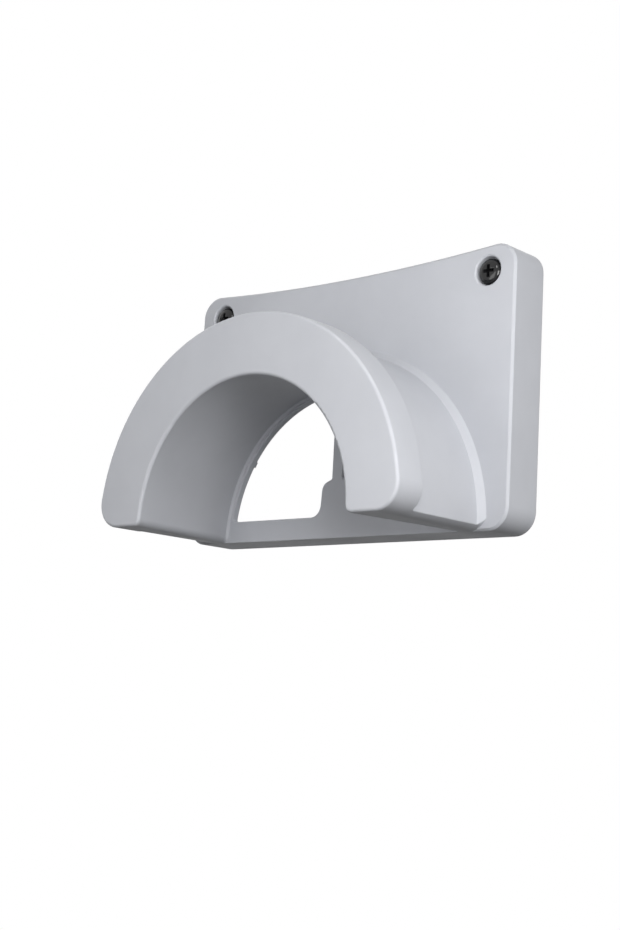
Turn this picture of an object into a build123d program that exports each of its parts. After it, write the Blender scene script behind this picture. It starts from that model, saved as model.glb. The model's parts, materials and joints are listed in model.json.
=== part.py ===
from build123d import *
from math import isclose
import os

# Wall-mounted extension cord holder: one moulded bracket and its two mounting screws.
# The wall face of the bracket is the plane y = 0, its front looks along -Y, and the Y axis is
# the axis of the arch that carries the cord.

# Driving dimensions of the back plate, an open-backed tray
plate_width = 150.0
plate_top = 97.5
foot = -1.5
plate_depth = 16.5
plate_corner_radius = 8.0
plate_edge = 0.8
top_edge_dip = 3.2
tray_wall = 3.0
skin = 2.6

# Driving dimensions of the arch that carries the cord
reach = 67.0
lip_radius = 70.0
lip_thickness = 13.0
lip_corner_radius = 9.0
lip_front_edge_radius = 1.1
lip_rear_edge = 0.6
saddle_radius = 64.5
saddle_corner_radius = 1.5
inner_radius_front = 48.0
inner_radius_plate = 54.0
leg_inner_corner_radius = 2.6
lip_cove = 1.4
plate_cove = 2.2
web_bevel = 0.9
root_depth = 4.0

# Driving dimensions of the two windows and of the rib between them
window_radius = 52.1
window_sill = 6.5
window_corner_radius = 1.2
window_edge = 0.4
rib_width = 5.0
rib_neck_height = 20.1
rib_neck_radius = 0.8
shoulder_half_width = 6.9
shoulder_height = 18.3
shoulder_radius = 3.5
base_half_width = 7.7
base_radius = 4.5

# Driving dimensions of the coring and the stiffening ribs at the back
pocket_inner_radius = 57.2
pocket_outer_radius = 61.4
pocket_draft = 0.5
pocket_floor = 11.0
rib_count = 5
rib_spacing = 30.0
stiffener = 2.2
stiffener_setback = 4.0
boss_radius = 7.4

# Driving dimensions of the screws, a common pan-head size, and of their seats
screw_spacing = 127.0
screw_height = 87.8
screw_length = 28.5
neck_radius = 2.0
neck_length = 14.0
thread_radius = 2.4
tip_length = 6.0
tip_radius = 0.3
head_radius = 4.65
head_height = 3.1
head_side = 1.1
head_knee_radius = 4.15
head_knee_height = 2.3
head_flat_radius = 2.9
drive_span = 5.0
drive_width = 1.25
drive_depth = 2.2
drive_taper = 9.0
seat_radius = 5.1
seat_depth = 3.2
seat_edge = 0.5
clearance_radius = 2.65

half_width = plate_width / 2
plate_front = -plate_depth
skin_back = plate_front + skin
lip_front = -reach
lip_rear = lip_front + lip_thickness
arch_root = plate_front + root_depth
seat_floor = plate_front + seat_depth
rib_start = pocket_outer_radius - pocket_draft
web_start = pocket_inner_radius - pocket_draft
web_length = pocket_outer_radius + pocket_draft - web_start
screw_places = [(-screw_spacing / 2, screw_height), (screw_spacing / 2, screw_height)]


def front_view(y):
    """Plane at depth y that is seen from the front: X to the right, Z up."""
    return Plane.XZ.offset(-y)


def arch_outline(radius, corner_radius):
    """Front view of a disc about the arch axis, cut level with the foot, with rounded ends."""
    with BuildSketch() as outline:
        Circle(radius)
        with Locations((0, foot)):
            Rectangle(3 * radius, 2 * radius, align=(Align.CENTER, Align.MIN), mode=Mode.INTERSECT)
        fillet(outline.vertices(), corner_radius)
    return outline.sketch


def plate_outline():
    """Front view of the plate, with its shallow concave top edge."""
    with BuildSketch() as outline:
        with BuildLine():
            bottom = Line((-half_width, foot), (half_width, foot))
            right = Line(bottom @ 1, (half_width, plate_top))
            top = ThreePointArc(right @ 1, (0, plate_top - top_edge_dip), (-half_width, plate_top))
            Line(top @ 1, bottom @ 0)
        make_face()
        fillet(outline.vertices(), plate_corner_radius)
    return outline.sketch


# Cord channel: the space over the saddle between lip and plate, with both its corners eased
with BuildPart() as channel:
    with BuildSketch(front_view(plate_front)):
        Rectangle(4 * lip_radius, 4 * lip_radius)
        add(arch_outline(saddle_radius, saddle_corner_radius), mode=Mode.SUBTRACT)
    extrude(amount=plate_front - lip_rear)
    lip_side = channel.faces().sort_by(Axis.Y)[0]
    chamfer(lip_side.inner_wires()[0].edges(), lip_cove)
    plate_side = channel.faces().sort_by(Axis.Y)[-1]
    chamfer(plate_side.inner_wires()[0].edges(), plate_cove)

# Front lip, whose rear edge is broken before the saddle joins it
with BuildPart() as lip:
    with BuildSketch(front_view(lip_rear)):
        add(arch_outline(lip_radius, lip_corner_radius))
    extrude(amount=lip_thickness)
    chamfer(lip.faces().sort_by(Axis.Y)[-1].edges(), lip_rear_edge)

# Arch: saddle and lip, with the flared underside between their two feet
with BuildPart() as arch:
    with BuildSketch(front_view(arch_root)):
        add(arch_outline(lip_radius - lip_cove, lip_corner_radius))
    extrude(amount=arch_root - lip_rear + lip_thickness / 2)
    add(channel.part, mode=Mode.SUBTRACT)
    add(lip.part)
    with BuildSketch(Plane.YZ) as flare:
        with BuildLine():
            Polyline(
                (lip_front, 0),
                (lip_front, inner_radius_front),
                (plate_front, inner_radius_plate),
                (plate_front, 0),
                close=True,
            )
        make_face()
        chamfer(flare.vertices().sort_by(Axis.Y)[-1], web_bevel)
    revolve(axis=Axis.Y, mode=Mode.SUBTRACT)
    underside = arch.faces().sort_by(Axis.Z)[0].edges()
    legs = underside.filter_by_position(Axis.Y, lip_front, plate_front, inclusive=(False, False))
    inner_legs = legs.filter_by_position(Axis.X, -inner_radius_plate, inner_radius_plate)
    fillet(inner_legs, leg_inner_corner_radius)
    fillet(arch.faces().sort_by(Axis.Y)[0].edges(), lip_front_edge_radius)

# Pocket that cores the saddle from behind, closed above the feet
with BuildPart() as pocket:
    with BuildSketch(Plane.YZ):
        with BuildLine():
            Polyline(
                (skin_back, pocket_inner_radius),
                (lip_front + pocket_floor, pocket_inner_radius + pocket_draft),
                (lip_front + pocket_floor, pocket_outer_radius - pocket_draft),
                (skin_back, pocket_outer_radius),
                close=True,
            )
        make_face()
    revolve(axis=Axis.Y)
    split(bisect_by=Plane.XY.offset(foot + tray_wall), keep=Keep.TOP)

# Holder: the tray of the plate, the arch on it, and what the tray carries behind
with BuildPart() as holder:
    with BuildSketch(front_view(0)):
        add(plate_outline())
    extrude(amount=plate_depth)
    chamfer(holder.faces().sort_by(Axis.Y)[0].edges(), plate_edge)
    add(arch.part)
    with BuildSketch(front_view(0)):
        add(plate_outline())
        offset(amount=-tray_wall, mode=Mode.REPLACE)
    extrude(amount=-skin_back, mode=Mode.SUBTRACT)
    add(pocket.part, mode=Mode.SUBTRACT)
    # Radial ribs, from the pocket's outer wall to the rim of the tray
    with BuildSketch(front_view(-stiffener_setback)):
        with PolarLocations(rib_start, rib_count, rib_spacing, rib_count * rib_spacing):
            Rectangle(plate_width, stiffener, align=(Align.MIN, Align.CENTER))
        add(plate_outline(), mode=Mode.INTERSECT)
    extrude(amount=-skin_back - stiffener_setback)
    # Webs across the pocket, in line with the ribs
    with BuildSketch(front_view(skin_back)):
        with PolarLocations(web_start, rib_count, rib_spacing, rib_count * rib_spacing):
            Rectangle(web_length, stiffener, align=(Align.MIN, Align.CENTER))
    extrude(amount=skin_back - lip_front - pocket_floor)
    # Screw bosses, tied to the rim of the tray
    with BuildSketch(front_view(0)):
        with Locations(*screw_places):
            Circle(boss_radius)
            Rectangle(stiffener, plate_top, align=(Align.CENTER, Align.MIN))
        add(plate_outline(), mode=Mode.INTERSECT)
    extrude(amount=-skin_back)
    # Windows on both sides of the rib with the bell-shaped foot
    with BuildSketch(front_view(plate_front)) as windows:
        Circle(window_radius)
        with Locations((0, window_sill)):
            Rectangle(
                2 * window_radius,
                2 * window_radius,
                align=(Align.CENTER, Align.MIN),
                mode=Mode.INTERSECT,
            )
        Rectangle(rib_width, 4 * window_radius, mode=Mode.SUBTRACT)
        with BuildLine():
            Polyline(
                (-base_half_width, window_sill),
                (-shoulder_half_width, shoulder_height),
                (-rib_width / 2, rib_neck_height),
                (rib_width / 2, rib_neck_height),
                (shoulder_half_width, shoulder_height),
                (base_half_width, window_sill),
                close=True,
            )
        make_face(mode=Mode.SUBTRACT)
        fillet(windows.vertices().group_by(Axis.Y)[-1], window_corner_radius)
        fillet(windows.vertices().group_by(Axis.Y)[2], rib_neck_radius)
        fillet(windows.vertices().group_by(Axis.Y)[1], shoulder_radius)
        sill_ends = windows.vertices().group_by(Axis.Y)[0].sort_by(Axis.X)
        fillet(sill_ends[1:3], base_radius)
        sill_ends = windows.vertices().group_by(Axis.Y)[0].sort_by(Axis.X)
        fillet([sill_ends[0], sill_ends[-1]], window_corner_radius)
    extrude(amount=-skin, mode=Mode.SUBTRACT)
    front_faces = holder.faces().filter_by_position(Axis.Y, plate_front, plate_front)
    web_face = front_faces.sort_by(Axis.Z)[0]
    chamfer([wire.edges() for wire in web_face.inner_wires()], window_edge)
    # Screw seats
    with Locations(front_view(plate_front)):
        with Locations(*screw_places):
            CounterBoreHole(clearance_radius, seat_radius, seat_depth)
    circles = holder.edges().filter_by(GeomType.CIRCLE)
    seat_rims = circles.filter_by(lambda rim: isclose(rim.radius, seat_radius))
    chamfer(seat_rims.group_by(Axis.Y)[0], seat_edge)

holder.part.label = "holder"

# One screw on the Y axis, its head seated on the floor of the counterbore
with BuildPart() as screw:
    with BuildSketch(Plane.YZ):
        with BuildLine():
            Polyline(
                (seat_floor - head_side, head_radius),
                (seat_floor - head_knee_height, head_knee_radius),
                (seat_floor - head_height, head_flat_radius),
                (seat_floor - head_height, 0),
                (seat_floor + screw_length, 0),
                (seat_floor + screw_length, tip_radius),
                (seat_floor + screw_length - tip_length, thread_radius),
                (seat_floor + neck_length, thread_radius),
                (seat_floor + neck_length, neck_radius),
                (seat_floor, neck_radius),
                (seat_floor, head_radius),
                close=True,
            )
        make_face()
    revolve(axis=Axis.Y)
    with BuildSketch(front_view(seat_floor - head_height)):
        Rectangle(drive_span, drive_width)
        Rectangle(drive_width, drive_span)
    extrude(amount=-drive_depth, taper=drive_taper, mode=Mode.SUBTRACT)

with BuildPart() as mounting_screws:
    with Locations(*[(x, 0, z) for x, z in screw_places]):
        add(screw.part)

mounting_screws.part.label = "mounting_screws"

os.makedirs("parts", exist_ok=True)
export_step(holder.part, "parts/holder.step")
export_step(mounting_screws.part, "parts/mounting_screws.step")
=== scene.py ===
import json
from math import cos, pi, radians, sin

import bpy
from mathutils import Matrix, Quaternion, Vector

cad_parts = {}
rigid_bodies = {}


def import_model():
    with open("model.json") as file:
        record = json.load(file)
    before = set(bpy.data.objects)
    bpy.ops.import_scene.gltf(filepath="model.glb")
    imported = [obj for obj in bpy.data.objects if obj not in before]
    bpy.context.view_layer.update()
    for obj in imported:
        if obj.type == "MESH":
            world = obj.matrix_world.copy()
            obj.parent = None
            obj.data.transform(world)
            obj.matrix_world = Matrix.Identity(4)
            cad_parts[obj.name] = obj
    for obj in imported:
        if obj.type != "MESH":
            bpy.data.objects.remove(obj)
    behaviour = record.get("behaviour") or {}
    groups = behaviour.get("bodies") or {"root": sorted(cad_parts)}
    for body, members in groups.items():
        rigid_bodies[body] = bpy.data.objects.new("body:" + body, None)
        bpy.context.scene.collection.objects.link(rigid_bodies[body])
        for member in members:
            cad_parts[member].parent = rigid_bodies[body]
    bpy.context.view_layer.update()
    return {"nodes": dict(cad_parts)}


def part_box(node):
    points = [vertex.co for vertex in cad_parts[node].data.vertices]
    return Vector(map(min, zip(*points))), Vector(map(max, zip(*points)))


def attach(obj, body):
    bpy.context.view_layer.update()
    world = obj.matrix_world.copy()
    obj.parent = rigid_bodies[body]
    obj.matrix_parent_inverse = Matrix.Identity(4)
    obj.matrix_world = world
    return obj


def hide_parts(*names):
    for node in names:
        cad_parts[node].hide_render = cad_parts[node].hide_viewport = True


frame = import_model()


# ---- The holder
# One injection moulding in light grey plastic: back plate, arch, lip and the ribs behind.
# The mould gives its outer faces an even, very fine grain with a satin sheen.
def wire(tree, output, target):
    tree.links.new(output, target)


def add_node(tree, kind, place=(0, 0), **settings):
    node = tree.nodes.new(kind)
    node.location = place
    for name, value in settings.items():
        if hasattr(node, name):
            setattr(node, name, value)
        else:
            node.inputs[name.replace("_", " ")].default_value = value
    return node


def blank_material(name):
    """A new material with nothing but its shader, and the object's own coordinates."""
    material = bpy.data.materials.new(name)
    material.use_nodes = True
    tree = material.node_tree
    shader = tree.nodes["Principled BSDF"]
    coordinates = add_node(tree, "ShaderNodeTexCoord", (-1300, 0))
    return material, tree, shader, coordinates.outputs["Object"]


plastic_light = (0.560, 0.572, 0.608, 1)
plastic_dark = (0.535, 0.547, 0.583, 1)
cloud_size = 0.022
grain_size = 0.00045
grain_depth = 0.00003
softened_edge = 0.0004

plastic, tree, shader, place = blank_material("light_grey_plastic")
cloud = add_node(
    tree, "ShaderNodeTexNoise", (-1000, 300), Scale=1 / cloud_size, Detail=3.0, Roughness=0.55
)
grain = add_node(
    tree, "ShaderNodeTexNoise", (-1000, -100), Scale=1 / grain_size, Detail=2.0, Roughness=0.5
)
wire(tree, place, cloud.inputs["Vector"])
wire(tree, place, grain.inputs["Vector"])
# The colour drifts a little from place to place
drift = add_node(tree, "ShaderNodeMix", (-500, 300), data_type="RGBA")
drift.inputs[6].default_value = plastic_dark
drift.inputs[7].default_value = plastic_light
spread = add_node(tree, "ShaderNodeMapRange", (-760, 300), From_Min=0.35, From_Max=0.65)
wire(tree, cloud.outputs["Fac"], spread.inputs["Value"])
wire(tree, spread.outputs["Result"], drift.inputs["Factor"])
wire(tree, drift.outputs[2], shader.inputs["Base Color"])
# The sheen is duller where the flow of the melt left it so
sheen = add_node(
    tree, "ShaderNodeMapRange", (-500, 0), From_Min=0.3, From_Max=0.7, To_Min=0.54, To_Max=0.61
)
wire(tree, cloud.outputs["Fac"], sheen.inputs["Value"])
wire(tree, sheen.outputs["Result"], shader.inputs["Roughness"])
# Fine moulded grain over edges that are all slightly rounded
rounding = add_node(tree, "ShaderNodeBevel", (-760, -420), samples=6, Radius=softened_edge)
relief = add_node(tree, "ShaderNodeBump", (-500, -300), Strength=0.35, Distance=grain_depth)
wire(tree, grain.outputs["Fac"], relief.inputs["Height"])
wire(tree, rounding.outputs["Normal"], relief.inputs["Normal"])
wire(tree, relief.outputs["Normal"], shader.inputs["Normal"])
shader.inputs["IOR"].default_value = 1.49
shader.inputs["Specular IOR Level"].default_value = 0.4

holder = frame["nodes"]["holder"]
for slot in holder.material_slots:
    slot.material = plastic


# ---- The mounting screws
# Two black steel wood screws with pan heads and cross recesses: a smooth neck under the head,
# a rolled right-hand thread and a gimlet point. They are driven through the bosses of the plate.
screws_low, screws_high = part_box("mounting_screws")
head_radius = 0.00465
head_height = 0.0031
head_side = 0.0011
head_flat_radius = 0.0022
head_crown = 0.00012
seat_edge = 0.0002
recess_span = 0.0050
recess_width = 0.0013
recess_depth = 0.0024
recess_foot_span, recess_foot_width = 0.5, 0.75
recess_edge = 0.00007
neck_radius = 0.0020
neck_flare = 0.0004
neck_length = 0.0140
thread_radius = 0.0024
core_radius = 0.00165
thread_pitch = 0.00195
crest_start, crest_end = 0.72 * thread_pitch, 0.79 * thread_pitch
point_length = 0.0062
point_bluntness = 0.06
merge_distance = 0.000002
screw_length = (screws_high.y - screws_low.y) - head_height
screw_x = screws_high.x - head_radius
screw_z = (screws_high.z + screws_low.z) / 2
head_seat_y = screws_low.y + head_height


def deselect_all():
    for other in bpy.context.view_layer.objects:
        other.select_set(False)


def profile_line(name, points):
    """An edge chain in the XZ plane, drawn point by point from a single vertex."""
    deselect_all()
    bpy.ops.mesh.primitive_plane_add(size=0.001, location=(0, 0, 0))
    line = bpy.context.object
    line.name = line.data.name = name
    bpy.ops.object.mode_set(mode="EDIT")
    bpy.ops.mesh.select_all(action="SELECT")
    bpy.ops.mesh.merge(type="CENTER")
    x, z = points[0]
    bpy.ops.transform.translate(value=(x, 0, z))
    for next_x, next_z in points[1:]:
        step = (next_x - x, 0, next_z - z)
        bpy.ops.mesh.extrude_region_move(TRANSFORM_OT_translate={"value": step})
        x, z = next_x, next_z
    bpy.ops.object.mode_set(mode="OBJECT")
    return line


def clean_shell(piece):
    """Merges doubles, takes out slivers and turns every face outwards."""
    bpy.context.view_layer.objects.active = piece
    bpy.ops.object.mode_set(mode="EDIT")
    bpy.ops.mesh.select_all(action="SELECT")
    bpy.ops.mesh.remove_doubles(threshold=merge_distance)
    bpy.ops.mesh.dissolve_degenerate(threshold=merge_distance)
    bpy.ops.mesh.normals_make_consistent(inside=False)
    bpy.ops.object.mode_set(mode="OBJECT")


def apply_modifier(piece, kind, **settings):
    modifier = piece.modifiers.new(kind.lower(), kind)
    for name, value in settings.items():
        setattr(modifier, name, value)
    bpy.context.view_layer.objects.active = piece
    bpy.ops.object.modifier_apply(modifier=modifier.name)


# Head and neck: one profile spun about the screw's axis, head upwards, seat at z = 0
shoulder = [
    (
        head_flat_radius + (head_radius - head_flat_radius) * cos(step * pi / 16),
        head_side + (head_height - head_crown - head_side) * sin(step * pi / 16),
    )
    for step in range(9)
]
head = profile_line(
    "screw_head",
    [
        (0, -neck_length),
        (neck_radius, -neck_length),
        (neck_radius, -neck_flare),
        (neck_radius + neck_flare, 0),
        (head_radius - seat_edge, 0),
        (head_radius, seat_edge),
        *shoulder,
        (0, head_height),
    ],
)
bpy.ops.object.mode_set(mode="EDIT")
bpy.ops.mesh.select_all(action="SELECT")
bpy.ops.mesh.spin(steps=64, angle=2 * pi, axis=(0, 0, 1), center=(0, 0, 0))
bpy.ops.object.mode_set(mode="OBJECT")
clean_shell(head)

# Cross recess: two blades that narrow downwards are cut out of the head, and the edges are broken
blade_overlap = 0.0002
blades = []
for turn in (0, pi / 2):
    deselect_all()
    middle = head_height - recess_depth / 2 + blade_overlap
    bpy.ops.mesh.primitive_cube_add(size=1, location=(0, 0, middle))
    blade = bpy.context.object
    blade.scale = (recess_span, recess_width, recess_depth + 2 * blade_overlap)
    blade.rotation_euler = (0, 0, turn)
    bpy.ops.object.transform_apply(location=True, rotation=True, scale=True)
    bpy.ops.object.mode_set(mode="EDIT")
    bpy.ops.mesh.select_all(action="DESELECT")
    bpy.ops.object.mode_set(mode="OBJECT")
    for face in blade.data.polygons:
        face.select = face.normal.z < -0.9
    bpy.ops.object.mode_set(mode="EDIT")
    along_x = (recess_foot_span, recess_foot_width, 1)
    along_y = (recess_foot_width, recess_foot_span, 1)
    bpy.ops.transform.resize(value=along_x if turn == 0 else along_y)
    bpy.ops.object.mode_set(mode="OBJECT")
    blades.append(blade)
for blade in blades:
    apply_modifier(head, "BOOLEAN", operation="DIFFERENCE", solver="EXACT", object=blade)
for blade in blades:
    bpy.data.objects.remove(blade)
apply_modifier(
    head, "BEVEL", width=recess_edge, segments=2, limit_method="ANGLE", angle_limit=radians(35)
)
clean_shell(head)

# Thread: one turn of its ridge is wound down the shank, cut level at both ends, then drawn in
# to the point
turns = int((screw_length - neck_length) / thread_pitch) + 3
thread = profile_line(
    "screw_thread",
    [
        (core_radius, 0), (core_radius, 0.5 * thread_pitch), (thread_radius, crest_start),
        (thread_radius, crest_end), (core_radius, thread_pitch),
    ],
)
apply_modifier(
    thread, "SCREW", axis="Z", angle=2 * pi, screw_offset=thread_pitch, iterations=turns,
    steps=28, render_steps=28, use_merge_vertices=True, merge_threshold=merge_distance,
)
clean_shell(thread)
bpy.ops.object.mode_set(mode="EDIT")
bpy.ops.mesh.select_all(action="SELECT")
bpy.ops.transform.translate(value=(0, 0, -screw_length - thread_pitch))
bpy.ops.mesh.select_all(action="SELECT")
bpy.ops.mesh.bisect(
    plane_co=(0, 0, -neck_length), plane_no=(0, 0, 1), clear_outer=True, use_fill=True,
    threshold=0.5 * merge_distance,
)
bpy.ops.mesh.select_all(action="SELECT")
bpy.ops.mesh.bisect(
    plane_co=(0, 0, -screw_length), plane_no=(0, 0, 1), clear_inner=True, use_fill=True,
    threshold=0.5 * merge_distance,
)
bpy.ops.object.mode_set(mode="OBJECT")
for vertex in thread.data.vertices:
    rise = max(0.0, min(1.0, (vertex.co.z + screw_length) / point_length))
    drawn_in = point_bluntness + (1 - point_bluntness) * rise ** 0.8
    vertex.co.x *= drawn_in
    vertex.co.y *= drawn_in
clean_shell(thread)

deselect_all()
thread.select_set(True)
head.select_set(True)
bpy.context.view_layer.objects.active = head
bpy.ops.object.join()
bpy.ops.object.mode_set(mode="EDIT")
bpy.ops.mesh.select_all(action="SELECT")
bpy.ops.transform.rotate(value=-pi / 2, orient_axis="X", center_override=(0, 0, 0))
bpy.ops.object.mode_set(mode="OBJECT")
bpy.ops.object.shade_smooth_by_angle(angle=radians(32))

# Black coating over the steel, smooth and glossy, with faint mottling
mottles_per_metre = 900.0
peel_depth = 0.00002
coating, tree, shader, place = blank_material("black_coated_steel")
mottle = add_node(
    tree, "ShaderNodeTexNoise", (-1000, 200), Scale=mottles_per_metre, Detail=4.0, Roughness=0.6
)
wire(tree, place, mottle.inputs["Vector"])
tint = add_node(tree, "ShaderNodeValToRGB", (-700, 300))
tint.color_ramp.elements[0].color = (0.004, 0.004, 0.0045, 1)
tint.color_ramp.elements[1].color = (0.011, 0.011, 0.012, 1)
wire(tree, mottle.outputs["Fac"], tint.inputs["Fac"])
wire(tree, tint.outputs["Color"], shader.inputs["Base Color"])
gloss = add_node(
    tree, "ShaderNodeMapRange", (-700, 0), From_Min=0.3, From_Max=0.7, To_Min=0.07, To_Max=0.13
)
wire(tree, mottle.outputs["Fac"], gloss.inputs["Value"])
wire(tree, gloss.outputs["Result"], shader.inputs["Roughness"])
orange_peel = add_node(tree, "ShaderNodeBump", (-500, -300), Strength=0.15, Distance=peel_depth)
wire(tree, mottle.outputs["Fac"], orange_peel.inputs["Height"])
wire(tree, orange_peel.outputs["Normal"], shader.inputs["Normal"])
shader.inputs["IOR"].default_value = 1.45

# Inside the recess the coating's reflection is turned almost off: painted shade, which keeps the cross
# recess dark
recess_mouth, recess_bottom = 0.0004, recess_depth + 0.0003
recess_reach = 0.0027
recess_shade_coating = coating.copy()
recess_shade_coating.name = "black_coating_with_painted_shade_in_recess"
recess_shade_coating.node_tree.nodes["Principled BSDF"].inputs["Specular IOR Level"].default_value = 0.08

screw = bpy.context.object
screw.data.materials.clear()
screw.data.materials.append(coating)
screw.data.materials.append(recess_shade_coating)
# Faces inside the cross recess take the second material, the one with the painted shade
for face in screw.data.polygons:
    depth = face.center.y + head_height
    off_axis = (face.center.x ** 2 + face.center.z ** 2) ** 0.5
    if recess_mouth < depth < recess_bottom and off_axis < recess_reach:
        face.material_index = 1
for name, side in (("screw_left", -1), ("screw_right", 1)):
    copy = screw.copy()
    copy.data = screw.data.copy()
    copy.name = copy.data.name = name
    bpy.context.collection.objects.link(copy)
    for vertex in copy.data.vertices:
        vertex.co += Vector((side * screw_x, head_seat_y, screw_z))
    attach(copy, "root")
    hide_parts("mounting_screws")
bpy.data.objects.remove(screw)


# ---- Floor and light
# A plain pale floor well below the holder, which hangs, in a white room. Soft lights stand round
# the holder, the strongest close to its front and right.
floor_radius = 2.4
floor_height = -0.30


def seen_white(tree):
    """1 for the rays that see the white surroundings: from the camera, off gloss and through glass."""
    rays = add_node(tree, "ShaderNodeLightPath", (-900, 300))
    seen = add_node(tree, "ShaderNodeMath", (-700, 300), operation="MAXIMUM")
    wire(tree, rays.outputs["Is Camera Ray"], seen.inputs[0])
    wire(tree, rays.outputs["Is Glossy Ray"], seen.inputs[1])
    seen_at_all = add_node(tree, "ShaderNodeMath", (-550, 300), operation="MAXIMUM")
    wire(tree, seen.outputs[0], seen_at_all.inputs[0])
    wire(tree, rays.outputs["Is Transmission Ray"], seen_at_all.inputs[1])
    return seen_at_all.outputs[0]


deselect_all()
bpy.ops.mesh.primitive_circle_add(
    vertices=96, radius=floor_radius, fill_type="NGON", location=(0, 0, floor_height)
)
floor = bpy.context.object
floor.name = "floor"
pale, tree, shader, place = blank_material("pale_floor")
tree.nodes.remove(shader)
matte = add_node(tree, "ShaderNodeBsdfDiffuse", (-300, 100))
glow = add_node(tree, "ShaderNodeEmission", (-300, -100), Strength=1.0)
glow.inputs["Color"].default_value = (1, 1, 1, 1)
seen = seen_white(tree)
paint = add_node(tree, "ShaderNodeMix", (-500, 120), data_type="RGBA")
paint.inputs[6].default_value = (0.03, 0.03, 0.03, 1)
paint.inputs[7].default_value = (0.86, 0.86, 0.86, 1)
wire(tree, seen, paint.inputs["Factor"])
wire(tree, paint.outputs[2], matte.inputs["Color"])
# The floor is painted under the holder, where it takes the shadow, and glows white further out
distance = add_node(tree, "ShaderNodeVectorMath", (-900, -100), operation="LENGTH")
wire(tree, place, distance.inputs[0])
fade = add_node(
    tree, "ShaderNodeMapRange", (-700, -100), interpolation_type="SMOOTHSTEP",
    From_Min=0.3, From_Max=1.0, To_Min=0.55,
)
wire(tree, distance.outputs["Value"], fade.inputs["Value"])
far_and_seen = add_node(tree, "ShaderNodeMath", (-480, -100), operation="MULTIPLY")
wire(tree, fade.outputs["Result"], far_and_seen.inputs[0])
wire(tree, seen, far_and_seen.inputs[1])
blend = add_node(tree, "ShaderNodeMixShader", (-80, 0))
wire(tree, far_and_seen.outputs[0], blend.inputs["Fac"])
wire(tree, matte.outputs[0], blend.inputs[1])
wire(tree, glow.outputs[0], blend.inputs[2])
wire(tree, blend.outputs[0], tree.nodes["Material Output"].inputs["Surface"])
floor.data.materials.append(pale)

world = bpy.data.worlds.new("soft_white_room")
bpy.context.scene.world = world
world.use_nodes = True
tree = world.node_tree
room = tree.nodes["Background"]
room.inputs["Color"].default_value = (1.0, 1.0, 1.0, 1)
room.inputs["Strength"].default_value = 0.12
white = add_node(tree, "ShaderNodeBackground", (-300, -150), Strength=1.0)
white.inputs["Color"].default_value = (1, 1, 1, 1)
seen = seen_white(tree)
choice = add_node(tree, "ShaderNodeMixShader", (-80, 0))
wire(tree, seen, choice.inputs["Fac"])
wire(tree, room.outputs[0], choice.inputs[1])
wire(tree, white.outputs[0], choice.inputs[2])
wire(tree, choice.outputs[0], tree.nodes["World Output"].inputs["Surface"])

light_target = Vector((0, -0.03, 0.045))


def soft_light(name, azimuth, elevation, reach, size, power, in_reflections=True):
    """A square soft light that looks at the holder. Azimuth 0 is in front of it, 90 to its right."""
    a, e = radians(azimuth), radians(elevation)
    away = Vector((sin(a) * cos(e), -cos(a) * cos(e), sin(e)))
    lamp = bpy.data.lights.new(name, "AREA")
    lamp.shape = "SQUARE"
    lamp.size = size
    lamp.energy = power
    stand = bpy.data.objects.new(name, lamp)
    stand.location = light_target + reach * away
    stand.rotation_euler = away.to_track_quat("Z", "Y").to_euler()
    stand.visible_glossy = in_reflections
    bpy.context.collection.objects.link(stand)


# Degrees round the holder and above it, distance and size in metres, power in watts
soft_light("key_light", 80, 12, 0.45, 0.28, 0.42)
soft_light("front_light", 22, 34, 0.45, 0.08, 0.20)
soft_light("near_right_light", 55, 1, 0.32, 0.14, 0.65)
soft_light("centre_light", -4, 0, 0.32, 0.20, 0.33)
soft_light("left_light", -98, 25, 0.8, 0.6, 2.2)
soft_light("rear_light", 195, 32, 1.2, 0.8, 6.0, in_reflections=False)
soft_light("rear_left_light", 228, 32, 1.2, 0.8, 3.0, in_reflections=False)


# ---- Camera
# It looks up at the holder from its right, turned a little about its own axis.
azimuth, elevation, roll = radians(42.408), radians(-9.252), radians(3.151)
camera_target = Vector((0.032797, -0.067, 0.014797))
camera_distance = 0.508825
back = Vector((sin(azimuth) * cos(elevation), -cos(azimuth) * cos(elevation), sin(elevation)))
lens = bpy.data.cameras.new("camera")
lens.lens = 61.14
lens.sensor_width = 36
lens.clip_start = 0.01
camera = bpy.data.objects.new("camera", lens)
camera.location = camera_target + camera_distance * back
camera.rotation_euler = (back.to_track_quat("Z", "Y") @ Quaternion((0, 0, 1), roll)).to_euler()
bpy.context.collection.objects.link(camera)
bpy.context.scene.camera = camera
bpy.context.scene.view_settings.view_transform = "Standard"
